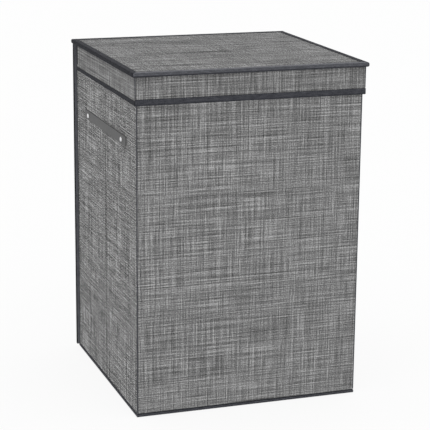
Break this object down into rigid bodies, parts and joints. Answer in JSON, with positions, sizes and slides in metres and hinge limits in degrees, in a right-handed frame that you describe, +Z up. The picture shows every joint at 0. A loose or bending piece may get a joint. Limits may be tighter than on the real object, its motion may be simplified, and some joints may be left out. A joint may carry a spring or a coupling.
{
  "type": "laundry hamper with lid",
  "caption": "Square upright fabric laundry hamper with a skirted flip-back lid, side walls that crease inward to fold flat, a lift-up base board and riveted strap handles.",
  "frame": {"origin": "centre of the footprint, on the surface it stands on", "axes": "+Z up, front wall faces -Y, lid hinge along X at the rear, handles on the -X and +X walls"},
  "size_m": [0.4224, 0.41, 0.6],
  "materials": {
    "woven_cover": "grey slub crosshatch weave, matt",
    "lining": "dark non-woven, matt",
    "binding": "charcoal folded tape, matt",
    "board": "grey-brown board, matt",
    "strap": "smooth dark grey faux leather",
    "rivet": "bright nickel"
  },
  "bodies": {
    "back": {"back_board": "board", "back_cover": "woven_cover", "back_lining": "lining", "back_top_binding": "binding", "back_hem_binding": "binding", "back_left_edge_binding": "binding", "back_right_edge_binding": "binding", "left_rear_gusset": "woven_cover", "right_rear_gusset": "woven_cover", "floor_panel": "lining", "floor_edge_binding": "binding", "base_hinge_tape": "binding", "lid_hinge_tape": "binding"},
    "left_rear": {"left_rear_board": "board", "left_rear_cover": "woven_cover", "left_rear_lining": "lining", "left_rear_top_binding": "binding", "left_rear_hem_binding": "binding", "left_rear_rivet": "rivet", "left_handle_strap": "strap"},
    "left_front": {"left_front_board": "board", "left_front_cover": "woven_cover", "left_front_lining": "lining", "left_front_top_binding": "binding", "left_front_hem_binding": "binding", "left_front_rivet": "rivet"},
    "right_rear": {"right_rear_board": "board", "right_rear_cover": "woven_cover", "right_rear_lining": "lining", "right_rear_top_binding": "binding", "right_rear_hem_binding": "binding", "right_rear_rivet": "rivet", "right_handle_strap": "strap"},
    "right_front": {"right_front_board": "board", "right_front_cover": "woven_cover", "right_front_lining": "lining", "right_front_top_binding": "binding", "right_front_hem_binding": "binding", "right_front_rivet": "rivet"},
    "front": {"front_board": "board", "front_cover": "woven_cover", "front_lining": "lining", "front_top_binding": "binding", "front_hem_binding": "binding"},
    "base": {"base_board": "board", "base_cover": "lining", "base_pull_tab": "binding"},
    "lid": {"lid_board": "board", "lid_cover": "woven_cover", "lid_lining": "lining", "lid_edge_binding": "binding", "skirt_front_board": "board", "skirt_left_board": "board", "skirt_right_board": "board", "skirt_front_cover": "woven_cover", "skirt_left_cover": "woven_cover", "skirt_right_cover": "woven_cover", "skirt_binding": "binding"}
  },
  "joints": [
    {"name": "lid_hinge", "type": "hinge", "parent": "back", "child": "lid", "pos_m": [0, 0.20515, 0.6], "axis": [-1, 0, 0], "range_deg": [0, 265], "deforming": ["lid_hinge_tape"]},
    {"name": "side_fold", "type": "hinge", "parent": "back", "child": "left_rear", "pos_m": [-0.1966, 0.19225, 0.3], "axis": [0, 0, -1], "range_deg": [-84, 0], "deforming": ["floor_panel", "floor_edge_binding", "left_handle_strap", "right_handle_strap"]},
    {"name": "left_crease", "type": "hinge", "parent": "left_rear", "child": "left_front", "pos_m": [-0.2029, 0.00095, 0.3], "axis": [0, 0, -1], "range_deg": [0, 168]},
    {"name": "front_corner", "type": "hinge", "parent": "left_front", "child": "front", "pos_m": [-0.1966, -0.19035, 0.3], "axis": [0, 0, -1], "range_deg": [-84, 0]},
    {"name": "right_side_fold", "type": "hinge", "parent": "back", "child": "right_rear", "pos_m": [0.1966, 0.19225, 0.3], "axis": [0, 0, -1], "range_deg": [0, 84]},
    {"name": "right_crease", "type": "hinge", "parent": "right_rear", "child": "right_front", "pos_m": [0.2029, 0.00095, 0.3], "axis": [0, 0, -1], "range_deg": [-168, 0]},
    {"name": "base_flip", "type": "hinge", "parent": "back", "child": "base", "pos_m": [0, 0.19785, 0.0045], "axis": [1, 0, 0], "range_deg": [-90, 0], "deforming": ["base_hinge_tape"]}
  ],
  "couplings": [
    {"joint": "left_crease", "follows": "side_fold", "ratio": -2},
    {"joint": "front_corner", "follows": "side_fold", "ratio": 1},
    {"joint": "right_side_fold", "follows": "side_fold", "ratio": -1},
    {"joint": "right_crease", "follows": "side_fold", "ratio": 2}
  ]
}
